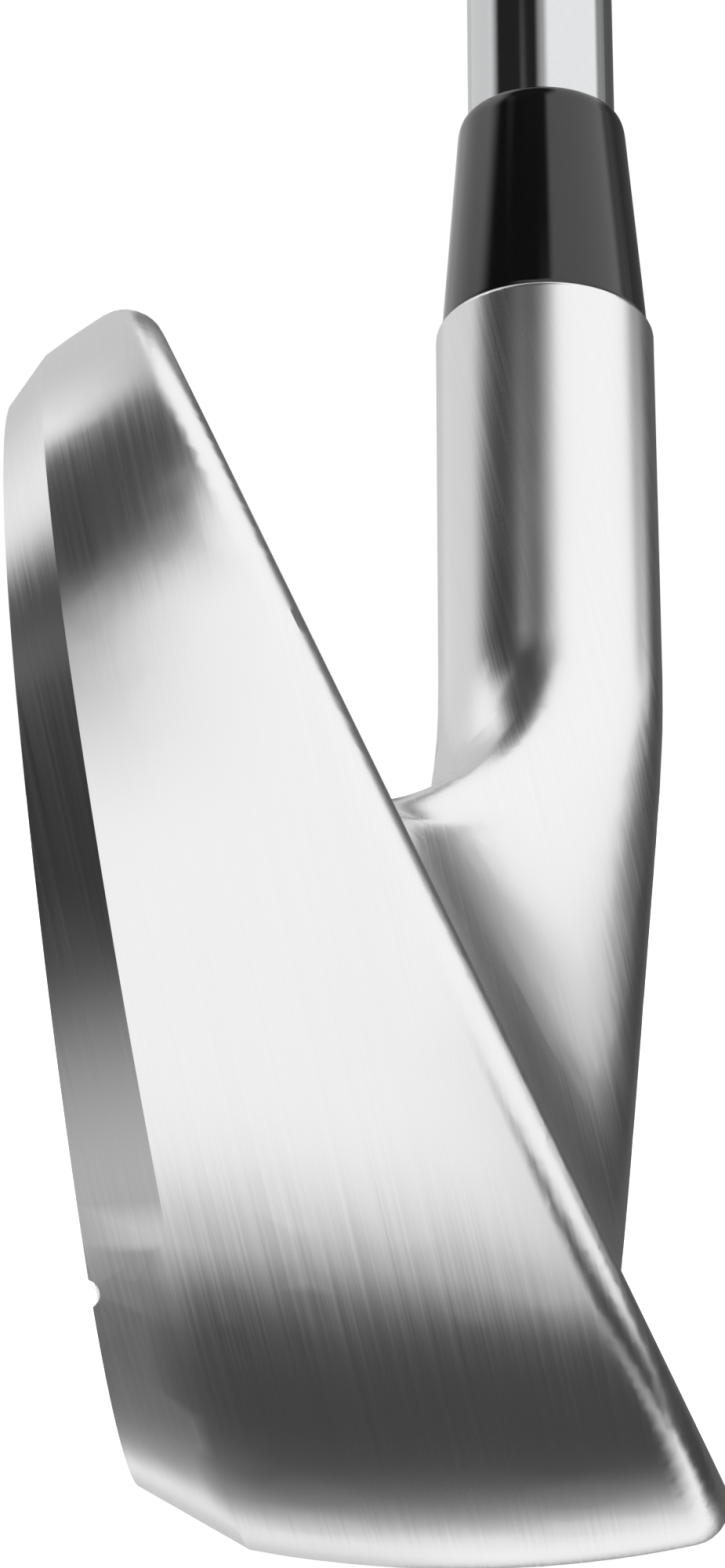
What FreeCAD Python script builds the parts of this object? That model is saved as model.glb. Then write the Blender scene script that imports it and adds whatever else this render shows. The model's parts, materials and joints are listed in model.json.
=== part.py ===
import FreeCAD, Part
import Sketcher
import math
import os
from dataclasses import dataclass, replace

# Right-handed iron standing at address: sole on the ground, face towards -Y, toe towards -X,
# shaft leaning up towards +X. The origin is the point of the ground that the sole rests on.

Vector = FreeCAD.Vector
UP = Vector(0, 0, 1)

# Radii of the nearly flat part of the toe on the three outlines of the blade, front to back.
FACE_SIDE_RADIUS = 56.0
MIDDLE_SIDE_RADIUS = 46.0
CREASE_SIDE_RADIUS = 39.0

# Angles over which that part runs upwards and downwards from the toe's furthest point.
UPPER_SWEEP = math.radians(18.0)
LOWER_SWEEP = math.radians(20.0)

# Share of the toe and heel insets that the middle outline of the blade takes up.
MIDDLE_SHARE = 0.3

# The neck's section is a ring of conic arcs, each held by one corner; this weight makes it round.
RING_CORNERS = 8
RING_WEIGHT = math.cos(math.pi / RING_CORNERS)
RING_DEGREE = 2
PATH_DEGREE = 3

# How far a cutter reaches past the surface it opens, and how far the boxes reach that pick out
# a part of the cavity.
CLEAR = 1.0
REGION_REACH = 100.0

# The toe groove runs this far on behind the rim it crosses, its axis sunk by a share of its radius.
GROOVE_OVERRUN = 4.0
GROOVE_SINK = 0.4

# Distance below which two points or lengths count as the same.
TOLERANCE = 0.01
SKIN_TOLERANCE = 1e-6

# Driving dimensions in millimetres and degrees; each becomes an aliased cell of the spreadsheet.
DIMENSIONS = {
    # attitude of the club
    "loft_angle": 26.0,
    "lie_angle": 63.0,
    "axis_x": 38.0,
    "axis_y": -8.1,
    # blade, heel to toe
    "toe_reach": 40.0,
    "heel_reach": 36.0,
    "crease_heel_inset": 4.0,
    "back_heel_inset": 11.0,
    "heel_corner_radius": 14.0,
    "toe_height": 62.0,
    "toe_extreme_height": 31.0,
    "face_extreme_rise": 1.0,
    "topline_slope": 29.5,
    "sole_camber_radius": 340.0,
    # blade, front to back
    "face_y": -16.25,
    "middle_y": -3.2,
    "middle_lean": 17.5,
    "crease_y": 8.0,
    "crease_lean": 9.65,
    "back_y": 12.8,
    "back_lean": 6.85,
    "heel_taper_angle": 1.5,
    "face_toe_inset": 2.0,
    "leading_edge_rise": 1.9,
    "crease_sole_rise": 1.0,
    "crease_topline_drop": 3.1,
    "topline_crown": 0.2,
    "crease_slope_gain": 2.0,
    "bevel_slope_gain": 2.0,
    "bevel_toe_inset": 1.3,
    "bevel_sole_rise": 3.3,
    "bevel_topline_drop": 2.4,
    "face_edge_radius": 2.0,
    # hosel
    "hosel_diameter": 13.7,
    "hosel_top": 74.6,
    "hosel_edge_radius": 0.5,
    "bore_depth": 31.75,
    "adhesive_gap": 0.1,
    # neck between blade and hosel
    "neck_top": 50.0,
    "neck_root": 12.0,
    "neck_root_inset": 1.0,
    "neck_root_rise": 1.0,
    "neck_root_chamfer": 5.0,
    "neck_spread": 0.05,
    "topline_pull": 17.0,
    "crotch_pull": 13.0,
    "sole_pull": 24.0,
    "heel_pull": 35.0,
    # face plate
    "face_rim": 4.0,
    "face_ledge": 1.6,
    "face_plate_thickness": 2.4,
    "score_pitch": 3.6,
    "score_width": 0.9,
    "score_depth": 0.5,
    "score_length": 50.0,
    "score_first_height": 7.5,
    "score_count": 12,
    # back cover and what is inside
    "badge_rim": 3.6,
    "badge_ledge": 1.5,
    "badge_thickness": 1.6,
    "badge_clearance": 0.1,
    "badge_proud": 0.1,
    "tape_thickness": 0.4,
    "inlay_rim": 5.0,
    "inlay_thickness": 0.5,
    "sole_weight_top": 11.0,
    "damper_bottom": 18.0,
    "damper_top": 34.0,
    "damper_width": 30.0,
    "toe_groove_radius": 0.7,
    "toe_groove_height": 15.4,
    # ferrule
    "ferrule_length": 15.4,
    "ferrule_base_diameter": 13.0,
    "ferrule_top_diameter": 10.9,
    "ferrule_round_share": 0.95,
    # shaft
    "club_length": 952.5,
    "tip_diameter": 9.4,
    "butt_diameter": 15.24,
    "shaft_wall": 0.45,
    "first_step": 230.0,
    "step_pitch": 32.0,
    "step_count": 13,
    "tip_weight_length": 12.0,
    # grip
    "grip_length": 268.0,
    "grip_tape_thickness": 0.25,
    "grip_mouth_wall": 1.5,
    "grip_lip_wall": 2.3,
    "grip_lip_length": 4.0,
    "grip_shoulder_diameter": 23.0,
    "grip_shoulder_depth": 50.0,
    "grip_end_diameter": 26.6,
    "grip_cap_diameter": 30.0,
    "grip_cap_thickness": 4.0,
    "grip_cap_round": 1.4,
    "vent_diameter": 3.0,
}

SHEET_NAME = "Dimensions"


def write_dimensions(doc):
    """Put every driving dimension in the spreadsheet under its alias."""
    sheet = doc.addObject("Spreadsheet::Sheet", SHEET_NAME)
    for row, (alias, value) in enumerate(DIMENSIONS.items(), start=1):
        sheet.set(f"A{row}", alias.replace("_", " "))
        sheet.set(f"B{row}", str(value))
        sheet.setAlias(f"B{row}", alias)
    doc.recompute()
    return sheet


def size(alias):
    """Return the expression text of a driving dimension."""
    return f"{SHEET_NAME}.{alias}"


def sines(angle):
    """Return the sine and cosine of an angle in degrees."""
    return math.sin(math.radians(angle)), math.cos(math.radians(angle))


# ---- blade outlines: closed wires on planes that lean back and turn with the heel taper ----


class LeaningPlane:
    """A plane across the blade: leaning back by one angle, turned about the vertical by another."""

    def __init__(self, base, lean, turn):
        self.base = base
        self.lean = lean
        self.turn = turn
        lean_sine, self.rise = sines(lean)
        turn_sine, turn_cosine = sines(turn)
        backwards = Vector(turn_sine, turn_cosine, 0)
        self.along = Vector(turn_cosine, -turn_sine, 0)
        self.up = UP * self.rise + backwards * lean_sine
        self.normal = self.along.cross(self.up)

    def point(self, across, height):
        """Return the point at a distance towards the heel and a vertical height."""
        return self.base + self.along * across + self.up * (height / self.rise)

    def moved(self, distance):
        """Return the same plane moved towards the face by a distance along its normal."""
        return LeaningPlane(self.base + self.normal * distance, self.lean, self.turn)


def around(centre, radius, angle):
    """Return a spot on a circle; the angle is 0 towards the toe and a quarter turn at the top."""
    return centre[0] - radius * math.cos(angle), centre[1] + radius * math.sin(angle)


@dataclass
class BladeOutline:
    """Face-on outline of the blade, drawn as tangent arcs with a straight topline and heel."""

    plane: LeaningPlane
    toe: float
    extreme: float
    top: float
    bottom: float
    heel: float
    heel_corner: float
    slope: float
    camber: float
    flatness: float

    def inset(self, rim):
        """Return the outline moved inwards by a rim width."""
        return replace(
            self,
            toe=self.toe + rim,
            top=self.top - rim,
            bottom=self.bottom + rim,
            heel=self.heel - rim,
            heel_corner=self.heel_corner - rim,
            camber=self.camber - rim,
            flatness=self.flatness - rim,
        )

    def on(self, plane):
        """Return the same outline on another plane."""
        return replace(self, plane=plane)

    def side(self):
        """Return the centre of the nearly flat arc of the toe."""
        return self.toe + self.flatness, self.extreme / self.plane.rise

    def crown(self):
        """Return the centre and radius of the arc from the toe over to the topline."""
        start = around(self.side(), self.flatness, UPPER_SWEEP)
        rise = self.top / self.plane.rise - start[1]
        radius = rise / (1 - math.sin(UPPER_SWEEP))
        return around(start, -radius, UPPER_SWEEP), radius

    def sole(self):
        """Return the centre of the sole's camber."""
        return 0.0, self.bottom / self.plane.rise + self.camber

    def toe_corner(self):
        """Return the centre and radius of the arc from the sole to the toe, and its first angle."""
        start = around(self.side(), self.flatness, -LOWER_SWEEP)
        sole = self.sole()
        gap = (start[0] - sole[0], start[1] - sole[1])
        lean = math.cos(LOWER_SWEEP) * gap[0] + math.sin(LOWER_SWEEP) * gap[1]
        radius = (self.camber**2 - gap[0] ** 2 - gap[1] ** 2) / (2 * (lean + self.camber))
        centre = around(start, -radius, -LOWER_SWEEP)
        return centre, radius, math.atan2(centre[1] - sole[1], sole[0] - centre[0])

    def heel_turn(self):
        """Return the centre of the heel corner's arc and its last angle."""
        across = self.heel - self.heel_corner
        drop = math.sqrt((self.camber - self.heel_corner) ** 2 - across**2)
        return (across, self.sole()[1] - drop), math.atan2(drop, across) - math.pi

    def topline_start(self):
        """Return the spot where the crown meets the straight topline."""
        centre, radius = self.crown()
        return around(centre, radius, math.radians(90 + self.slope))

    def topline_spot(self, across):
        """Return the spot of the straight topline at a distance towards the heel."""
        start = self.topline_start()
        return across, start[1] - (across - start[0]) * math.tan(math.radians(self.slope))

    def sole_spot(self, across):
        """Return the spot of the sole's camber at a distance towards the heel."""
        return across, self.sole()[1] - math.sqrt(self.camber**2 - across**2)

    def wire(self):
        """Return the closed wire, starting at the toe extreme and going over the topline."""
        crown, crown_radius = self.crown()
        corner, corner_radius, corner_start = self.toe_corner()
        heel, heel_stop = self.heel_turn()
        edges = [
            self.arc(self.side(), self.flatness, 0.0, UPPER_SWEEP),
            self.arc(crown, crown_radius, UPPER_SWEEP, math.radians(90 + self.slope)),
            self.line(self.topline_start(), self.topline_spot(self.heel)),
            self.line(self.topline_spot(self.heel), (self.heel, heel[1])),
            self.arc(heel, self.heel_corner, -math.pi, heel_stop),
            self.arc(self.sole(), self.camber, heel_stop, corner_start),
            self.arc(corner, corner_radius, corner_start, -LOWER_SWEEP),
            self.arc(self.side(), self.flatness, -LOWER_SWEEP, 0.0),
        ]
        return Part.Wire(edges)

    def place(self, spot):
        """Return the point in space of an (across, up the plane) pair."""
        return self.plane.base + self.plane.along * spot[0] + self.plane.up * spot[1]

    def arc(self, centre, radius, first, last):
        """Return an arc edge of the plane between two angles."""
        angles = (first, (first + last) / 2, last)
        return Part.Arc(*[self.place(around(centre, radius, angle)) for angle in angles]).toShape()

    def line(self, first, last):
        """Return a straight edge between two spots of the plane."""
        return Part.LineSegment(self.place(first), self.place(last)).toShape()


def blade_outlines(sheet):
    """Return the face, middle, crease and back outlines, from front to back."""
    toe = -sheet.toe_reach
    extreme = sheet.toe_extreme_height
    top = sheet.toe_height
    heel = sheet.heel_reach
    corner = sheet.heel_corner_radius
    slope = sheet.topline_slope
    camber = sheet.sole_camber_radius
    crease_top = top - sheet.crease_topline_drop
    turn = sheet.heel_taper_angle
    face = BladeOutline(
        LeaningPlane(Vector(0, sheet.face_y, 0), sheet.loft_angle, 0.0),
        toe + sheet.face_toe_inset,
        extreme + sheet.face_extreme_rise,
        top,
        sheet.leading_edge_rise,
        heel,
        corner,
        slope,
        camber,
        FACE_SIDE_RADIUS,
    )
    middle = BladeOutline(
        LeaningPlane(Vector(0, sheet.middle_y, 0), sheet.middle_lean, turn / 2),
        toe + sheet.face_toe_inset * MIDDLE_SHARE,
        extreme + sheet.face_extreme_rise / 2,
        (top + crease_top) / 2 + sheet.topline_crown,
        0.0,
        heel - sheet.crease_heel_inset * MIDDLE_SHARE,
        corner,
        slope + sheet.crease_slope_gain / 2,
        camber,
        MIDDLE_SIDE_RADIUS,
    )
    crease = BladeOutline(
        LeaningPlane(Vector(0, sheet.crease_y, 0), sheet.crease_lean, turn),
        toe,
        extreme,
        crease_top,
        sheet.crease_sole_rise,
        heel - sheet.crease_heel_inset,
        corner,
        slope + sheet.crease_slope_gain,
        camber,
        CREASE_SIDE_RADIUS,
    )
    back = BladeOutline(
        LeaningPlane(Vector(0, sheet.back_y, 0), sheet.back_lean, turn),
        toe + sheet.bevel_toe_inset,
        extreme - sheet.face_extreme_rise / 2,
        crease_top - sheet.bevel_topline_drop,
        sheet.crease_sole_rise + sheet.bevel_sole_rise,
        heel - sheet.back_heel_inset,
        corner,
        slope + sheet.crease_slope_gain + sheet.bevel_slope_gain,
        camber,
        CREASE_SIDE_RADIUS - sheet.bevel_toe_inset,
    )
    return face, middle, crease, back


def shape_object(doc, name, shape):
    """Add a free-form piece of geometry to the document."""
    item = doc.addObject("Part::Feature", name)
    item.Shape = shape
    return item


def slab(outline, inner_depth, outer_depth, inward):
    """Return a flat plate with the outline's shape between two depths below its plane."""
    start = outline.plane.moved(inward * outer_depth)
    thickness = inward * (inner_depth - outer_depth)
    face = Part.Face(outline.on(start).wire())
    return face.extrude(outline.plane.normal * thickness)


def build_blade(doc, sheet, outlines):
    """Loft the blade from face to crease, then to the back, and round its face edge."""
    face, middle, crease, back = [outline.wire() for outline in outlines]
    front = Part.makeLoft([face, middle, crease], True, False)
    bevel = Part.makeLoft([crease, back], True, True)
    plane = outlines[0].plane
    rim = [
        edge
        for edge in front.Edges
        if abs((edge.CenterOfMass - plane.base).dot(plane.normal)) < TOLERANCE
        and edge.CenterOfMass.x < sheet.heel_reach - CLEAR
    ]
    front = front.makeFillet(sheet.face_edge_radius, rim)
    return shape_object(doc, "blade", front.fuse(bevel))


def axis_point(sheet, distance):
    """Return the point of the shaft axis at a distance above the ground."""
    lie_sine, lie_cosine = sines(sheet.lie_angle)
    return Vector(
        sheet.axis_x + distance * lie_cosine, sheet.axis_y, distance * lie_sine
    )


# ---- neck: a skin over eight corner paths that run from inside the blade to the hosel ----


def hosel_ring(sheet, distance):
    """Return the corners around the hosel at a distance along the shaft axis, crotch side first."""
    lie_sine, lie_cosine = sines(sheet.lie_angle)
    inwards = Vector(-lie_sine, 0, lie_cosine)
    backwards = Vector(0, 1, 0)
    reach = sheet.hosel_diameter / 2 / RING_WEIGHT
    corners = []
    for index in range(RING_CORNERS):
        sine, cosine = sines((index + 0.5) * 360 / RING_CORNERS)
        corners.append(axis_point(sheet, distance) + (inwards * cosine + backwards * sine) * reach)
    return corners


def blade_ring(sheet, outlines):
    """Return the corners around the blade's section near the heel, just inside its surface."""
    face, crease = outlines[0], outlines[2]
    across = sheet.heel_reach - sheet.neck_root
    square = [
        crease.place(crease.topline_spot(across)),
        crease.place(crease.sole_spot(across)) + crease.plane.up * sheet.neck_root_rise,
        face.place(face.sole_spot(across)) + face.plane.up * sheet.neck_root_rise,
        face.place(face.topline_spot(across)),
    ]
    middle = sum(square, Vector()) * (1 / len(square))
    square = [corner + (middle - corner).normalize() * sheet.neck_root_inset for corner in square]
    corners = []
    for index, corner in enumerate(square):
        for other in (square[index - 1], square[(index + 1) % len(square)]):
            corners.append(corner + (other - corner).normalize() * sheet.neck_root_chamfer)
    for corner in corners:
        corner.x = across
    return corners


def corner_path(start, start_pull, end, end_pull):
    """Return the poles of a cubic that leaves the start and meets the end along the pulls."""
    return [start, start + start_pull, end - end_pull, end]


def skin(paths):
    """Return the solid inside a smooth skin around closed corner paths, with flat ends."""
    columns = []
    for index, path in enumerate(paths):
        columns.append([(one + two) * 0.5 for one, two in zip(paths[index - 1], path)])
        columns.append(path)
    columns.append(columns[0])
    spans = len(paths)
    surface = Part.BSplineSurface()
    surface.buildFromPolesMultsKnots(
        columns,
        [RING_DEGREE + 1] + [RING_DEGREE] * (spans - 1) + [RING_DEGREE + 1],
        [PATH_DEGREE + 1, PATH_DEGREE + 1],
        [float(knot) for knot in range(spans + 1)],
        [0.0, 1.0],
        False,
        False,
        RING_DEGREE,
        PATH_DEGREE,
        [[RING_WEIGHT if index % 2 else 1.0] * len(columns[0]) for index in range(len(columns))],
    )
    wall = surface.toShape()
    ends = [Part.Face(Part.Wire([edge])) for edge in wall.Edges if edge.isClosed()]
    solid = Part.Solid(Part.Shell([wall] + ends))
    solid.fix(SKIN_TOLERANCE, SKIN_TOLERANCE, SKIN_TOLERANCE)
    return solid


def build_neck(doc, sheet, outlines):
    """Skin the neck from inside the blade's heel up to the round hosel."""
    start = blade_ring(sheet, outlines)
    end = hosel_ring(sheet, sheet.neck_top)
    lie_sine, lie_cosine = sines(sheet.lie_angle)
    slope_sine, slope_cosine = sines(sheet.topline_slope)
    axis = Vector(lie_cosine, 0, lie_sine)
    topline = Vector(slope_cosine, 0, -slope_sine)
    sole = Vector(1, 0, 0)
    middle = sum(start, Vector()) * (1 / len(start))
    paths = []
    for index, (first, last) in enumerate(zip(start, end)):
        share = min(index, RING_CORNERS - 1 - index) / (RING_CORNERS / 2 - 1)
        leave = topline * (sheet.topline_pull * (1 - share)) + sole * (sheet.sole_pull * share)
        arrive = axis * (sheet.crotch_pull * (1 - share) + sheet.heel_pull * share)
        spread = (first - middle) * sheet.neck_spread
        paths.append(corner_path(first, leave + spread, last, arrive))
    return shape_object(doc, "neck", skin(paths))


def on_shaft_axis(item, start):
    """Put an item on the shaft axis, its own Z along the shaft, from a start expression."""
    lean = FreeCAD.Rotation(Vector(0, 1, 0), 90 - DIMENSIONS["lie_angle"])
    item.Placement = FreeCAD.Placement(Vector(), lean)
    item.setExpression("Placement.Rotation.Angle", f"90 - {size('lie_angle')}")
    lie = f"({size('lie_angle')} * 1 deg)"
    item.setExpression("Placement.Base.x", f"{size('axis_x')} + ({start}) * cos{lie}")
    item.setExpression("Placement.Base.y", size("axis_y"))
    item.setExpression("Placement.Base.z", f"({start}) * sin{lie}")


def axis_cylinder(doc, name, radius, start, height):
    """Add a cylinder on the shaft axis; radius, start and height are expressions."""
    cylinder = doc.addObject("Part::Cylinder", name)
    cylinder.setExpression("Radius", radius)
    cylinder.setExpression("Height", height)
    on_shaft_axis(cylinder, start)
    return cylinder


def combine(doc, kind, name, base, tools):
    """Join tools into one shape and cut them from, or intersect them with, a base."""
    tool = tools[0]
    if len(tools) > 1:
        tool = doc.addObject("Part::MultiFuse", f"{name}_tools")
        tool.Shapes = tools
    result = doc.addObject(kind, name)
    result.Base = base
    result.Tool = tool
    return result


def cavity_space(sheet, outlines):
    """Return the space inside the blade, from the face plate to the tape under the badge."""
    face, back = outlines[0], outlines[3]
    cover = sheet.badge_thickness + sheet.tape_thickness
    front = face.inset(sheet.face_rim + sheet.face_ledge)
    rear = back.inset(sheet.badge_rim + sheet.badge_ledge)
    front = front.on(face.plane.moved(-sheet.face_plate_thickness))
    rear = rear.on(back.plane.moved(cover))
    return Part.makeLoft([front.wire(), rear.wire()], True, True)


def build_toe_groove(doc, sheet, outlines):
    """Add the round-bottomed groove that crosses the toe end of the back rim."""
    back = outlines[3]
    groove = doc.addObject("Part::Cylinder", "toe_groove")
    groove.setExpression("Radius", size("toe_groove_radius"))
    groove.setExpression("Height", f"{size('badge_rim')} + {GROOVE_OVERRUN}")
    start = back.plane.point(back.toe - CLEAR, sheet.toe_groove_height)
    lift = back.plane.normal * (-GROOVE_SINK * sheet.toe_groove_radius)
    turn = FreeCAD.Rotation(UP, back.plane.along)
    groove.Placement = FreeCAD.Placement(start + lift, turn)
    return groove


def build_head_body(doc, sheet, outlines):
    """Join blade, neck and hosel, then cut the bore, the face seat, the cavity and the badge seat."""
    hosel = axis_cylinder(
        doc,
        "hosel_post",
        f"{size('hosel_diameter')} / 2",
        size("neck_top"),
        f"{size('hosel_top')} - {size('neck_top')}",
    )
    joined = doc.addObject("Part::MultiFuse", "head_blank")
    joined.Shapes = [build_blade(doc, sheet, outlines), build_neck(doc, sheet, outlines), hosel]
    face, back = outlines[0], outlines[3]
    bore = axis_cylinder(
        doc,
        "bore",
        f"{size('tip_diameter')} / 2 + {size('adhesive_gap')}",
        f"{size('hosel_top')} - {size('bore_depth')}",
        f"{size('bore_depth')} + {CLEAR}",
    )
    face_seat = slab(face.inset(sheet.face_rim), sheet.face_plate_thickness, -CLEAR, -1.0)
    cover = sheet.badge_thickness + sheet.tape_thickness
    badge_seat = slab(back.inset(sheet.badge_rim), cover, -CLEAR, 1.0)
    cutters = [
        bore,
        shape_object(doc, "face_seat", face_seat),
        shape_object(doc, "cavity", cavity_space(sheet, outlines)),
        shape_object(doc, "badge_seat", badge_seat),
        build_toe_groove(doc, sheet, outlines),
    ]
    hollow = combine(doc, "Part::Cut", "head_hollow", joined, cutters)
    doc.recompute()
    body = doc.addObject("Part::Fillet", "head_body")
    body.Base = hollow
    top = axis_point(sheet, sheet.hosel_top)
    rim = [
        (index, sheet.hosel_edge_radius, sheet.hosel_edge_radius)
        for index, edge in enumerate(hollow.Shape.Edges, start=1)
        if (edge.CenterOfMass - top).Length < TOLERANCE
        and abs(edge.Length - math.pi * sheet.hosel_diameter) < TOLERANCE
    ]
    body.Edges = rim
    return body


def build_face_plate(doc, sheet, outlines):
    """Cut the score lines into the face plate."""
    face = outlines[0]
    plate = slab(face.inset(sheet.face_rim), sheet.face_plate_thickness, 0.0, -1.0)
    blank = shape_object(doc, "face_plate_blank", plate)
    lines = []
    turn = FreeCAD.Rotation(face.plane.along, face.plane.up, face.plane.normal, "ZXY")
    for number in range(int(sheet.score_count)):
        line = doc.addObject("Part::Box", f"score_line_{number + 1}")
        line.setExpression("Length", size("score_length"))
        line.setExpression("Width", size("score_width"))
        line.setExpression("Height", f"{size('score_depth')} + {CLEAR}")
        climb = sheet.score_first_height + number * sheet.score_pitch
        corner = face.plane.base + face.plane.up * climb
        corner = corner - face.plane.along * (sheet.score_length / 2)
        corner = corner - face.plane.normal * sheet.score_depth
        line.Placement = FreeCAD.Placement(corner, turn)
        lines.append(line)
    return combine(doc, "Part::Cut", "face_plate", blank, lines)


def region_box(doc, name, width, bottom, top):
    """Add a box across the blade between two heights; the sizes are expressions."""
    box = doc.addObject("Part::Box", name)
    box.setExpression("Length", width)
    box.setExpression("Width", str(2 * REGION_REACH))
    box.setExpression("Height", f"{top} - ({bottom})")
    box.setExpression("Placement.Base.x", f"-({width}) / 2")
    box.setExpression("Placement.Base.y", str(-REGION_REACH))
    box.setExpression("Placement.Base.z", bottom)
    return box


def build_inner_pieces(doc, sheet, outlines):
    """Build the sole weight and the damper, which fill parts of the cavity from wall to wall."""
    pieces = []
    regions = {
        "sole_weight": (str(2 * REGION_REACH), str(-REGION_REACH), size("sole_weight_top")),
        "vibration_damper": (size("damper_width"), size("damper_bottom"), size("damper_top")),
    }
    for name, (width, bottom, top) in regions.items():
        space = shape_object(doc, f"{name}_space", cavity_space(sheet, outlines))
        box = region_box(doc, f"{name}_region", width, bottom, top)
        pieces.append(combine(doc, "Part::Common", name, space, [box]))
    return pieces


def build_cover(doc, sheet, outlines):
    """Build the tape, the badge and the inlay that close the back of the cavity."""
    back = outlines[3]
    opening = back.inset(sheet.badge_rim + sheet.badge_clearance)
    plaque = back.inset(sheet.badge_rim + sheet.inlay_rim)
    cover = sheet.badge_thickness + sheet.tape_thickness
    tape = slab(opening, cover, sheet.badge_thickness, 1.0)
    badge = slab(opening, sheet.badge_thickness, -sheet.badge_proud, 1.0)
    seat = slab(plaque, sheet.inlay_thickness, -CLEAR, 1.0)
    inlay = slab(plaque, sheet.inlay_thickness, 0.0, 1.0)
    pieces = [shape_object(doc, "badge_tape", tape)]
    badge_blank = shape_object(doc, "badge_blank", badge)
    inlay_seat = shape_object(doc, "inlay_seat", seat)
    pieces.append(combine(doc, "Part::Cut", "back_badge", badge_blank, [inlay_seat]))
    pieces.append(shape_object(doc, "badge_inlay", inlay))
    return pieces


# ---- pieces turned about the shaft axis: closed profiles of (radius, height) expressions ----


def turned_body(doc, name, corners):
    """Revolve a closed polygon about the shaft axis; each corner is a pair of expressions."""
    body = doc.addObject("PartDesign::Body", name)
    sketch = body.newObject("Sketcher::SketchObject", f"{name}_profile")
    plane = [item for item in body.Origin.OriginFeatures if item.Role == "XZ_Plane"][0]
    sketch.AttachmentSupport = [(plane, "")]
    sketch.MapMode = "FlatFace"
    spots = [
        Vector(float(body.evalExpression(radius)), float(body.evalExpression(height)), 0)
        for radius, height in corners
    ]
    count = len(corners)
    for index in range(count):
        following = spots[(index + 1) % count]
        sketch.addGeometry(Part.LineSegment(spots[index], following), False)
    for index in range(count):
        sketch.addConstraint(
            Sketcher.Constraint("Coincident", index, 2, (index + 1) % count, 1)
        )
    for index, (radius, height) in enumerate(corners):
        for direction, value, text in (
            ("DistanceX", spots[index].x, radius),
            ("DistanceY", spots[index].y, height),
        ):
            number = sketch.addConstraint(
                Sketcher.Constraint(direction, -1, 1, index, 1, value)
            )
            sketch.setExpression(f"Constraints[{number}]", text)
    turn = body.newObject("PartDesign::Revolution", f"{name}_turn")
    turn.Profile = sketch
    turn.ReferenceAxis = (sketch, ["V_Axis"])
    turn.Angle = 360.0
    body.Tip = turn
    on_shaft_axis(body, "0")
    doc.recompute()
    return body


def round_ring_edges(doc, body, radius, height, ring_radius):
    """Fillet the circular edges at a height and radius of a turned body."""
    base = body.Tip
    level = float(body.evalExpression(height))
    ring = float(body.evalExpression(ring_radius))
    names = [
        f"Edge{index}"
        for index, edge in enumerate(base.Shape.Edges, start=1)
        if edge.Curve.TypeId == "Part::GeomCircle"
        and abs(edge.Curve.Center.z - level) < TOLERANCE
        and abs(edge.Curve.Radius - ring) < TOLERANCE
    ]
    fillet = body.newObject("PartDesign::Fillet", f"{body.Name}_round_{len(body.Group)}")
    fillet.Base = (base, names)
    fillet.setExpression("Radius", radius)
    body.Tip = fillet
    doc.recompute()


# heights along the shaft axis, measured from the ground
TIP = f"({size('hosel_top')} - {size('bore_depth')})"
BUTT = f"({size('club_length')} - {size('grip_cap_thickness')})"
GRIP_START = f"({BUTT} - {size('grip_length')})"
TIP_RADIUS = f"{size('tip_diameter')} / 2"
BUTT_RADIUS = f"{size('butt_diameter')} / 2"
TAPE_RADIUS = f"({BUTT_RADIUS} + {size('grip_tape_thickness')})"


def build_ferrule(doc):
    """Build the ferrule: a tapered collar with a rounded upper rim."""
    bottom = size("hosel_top")
    top = f"{size('hosel_top')} + {size('ferrule_length')}"
    upper = f"{size('ferrule_top_diameter')} / 2"
    body = turned_body(
        doc,
        "ferrule",
        [
            (TIP_RADIUS, bottom),
            (f"{size('ferrule_base_diameter')} / 2", bottom),
            (upper, top),
            (TIP_RADIUS, top),
        ],
    )
    wall = f"({upper} - {TIP_RADIUS})"
    round_ring_edges(doc, body, f"{wall} * {size('ferrule_round_share')}", top, upper)
    return body


def build_shaft(doc, sheet):
    """Build the stepped tube; each step adds the same share of the growth in diameter."""
    wall = size("shaft_wall")
    count = int(sheet.step_count)
    outer = [(TIP_RADIUS, TIP)]
    for number in range(count):
        level = f"{TIP} + {size('first_step')} + {number} * {size('step_pitch')}"
        below = f"{TIP_RADIUS} + ({BUTT_RADIUS} - {TIP_RADIUS}) * {number} / {count}"
        above = f"{TIP_RADIUS} + ({BUTT_RADIUS} - {TIP_RADIUS}) * {number + 1} / {count}"
        outer += [(below, level), (above, level)]
    outer.append((BUTT_RADIUS, BUTT))
    inner = [(f"{radius} - {wall}", height) for radius, height in reversed(outer)]
    return turned_body(doc, "shaft", outer + inner)


def build_sleeves(doc):
    """Build the adhesive sleeve, the tip weight and the grip tape."""
    adhesive = turned_body(
        doc,
        "hosel_adhesive",
        [
            (TIP_RADIUS, TIP),
            (f"{TIP_RADIUS} + {size('adhesive_gap')}", TIP),
            (f"{TIP_RADIUS} + {size('adhesive_gap')}", size("hosel_top")),
            (TIP_RADIUS, size("hosel_top")),
        ],
    )
    plug = doc.addObject("Part::Cylinder", "tip_weight")
    plug.setExpression("Radius", f"{TIP_RADIUS} - {size('shaft_wall')}")
    plug.setExpression("Height", size("tip_weight_length"))
    on_shaft_axis(plug, TIP)
    tape = turned_body(
        doc,
        "grip_tape",
        [
            (BUTT_RADIUS, GRIP_START),
            (TAPE_RADIUS, GRIP_START),
            (TAPE_RADIUS, BUTT),
            (BUTT_RADIUS, BUTT),
        ],
    )
    return [adhesive, plug, tape]


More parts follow.
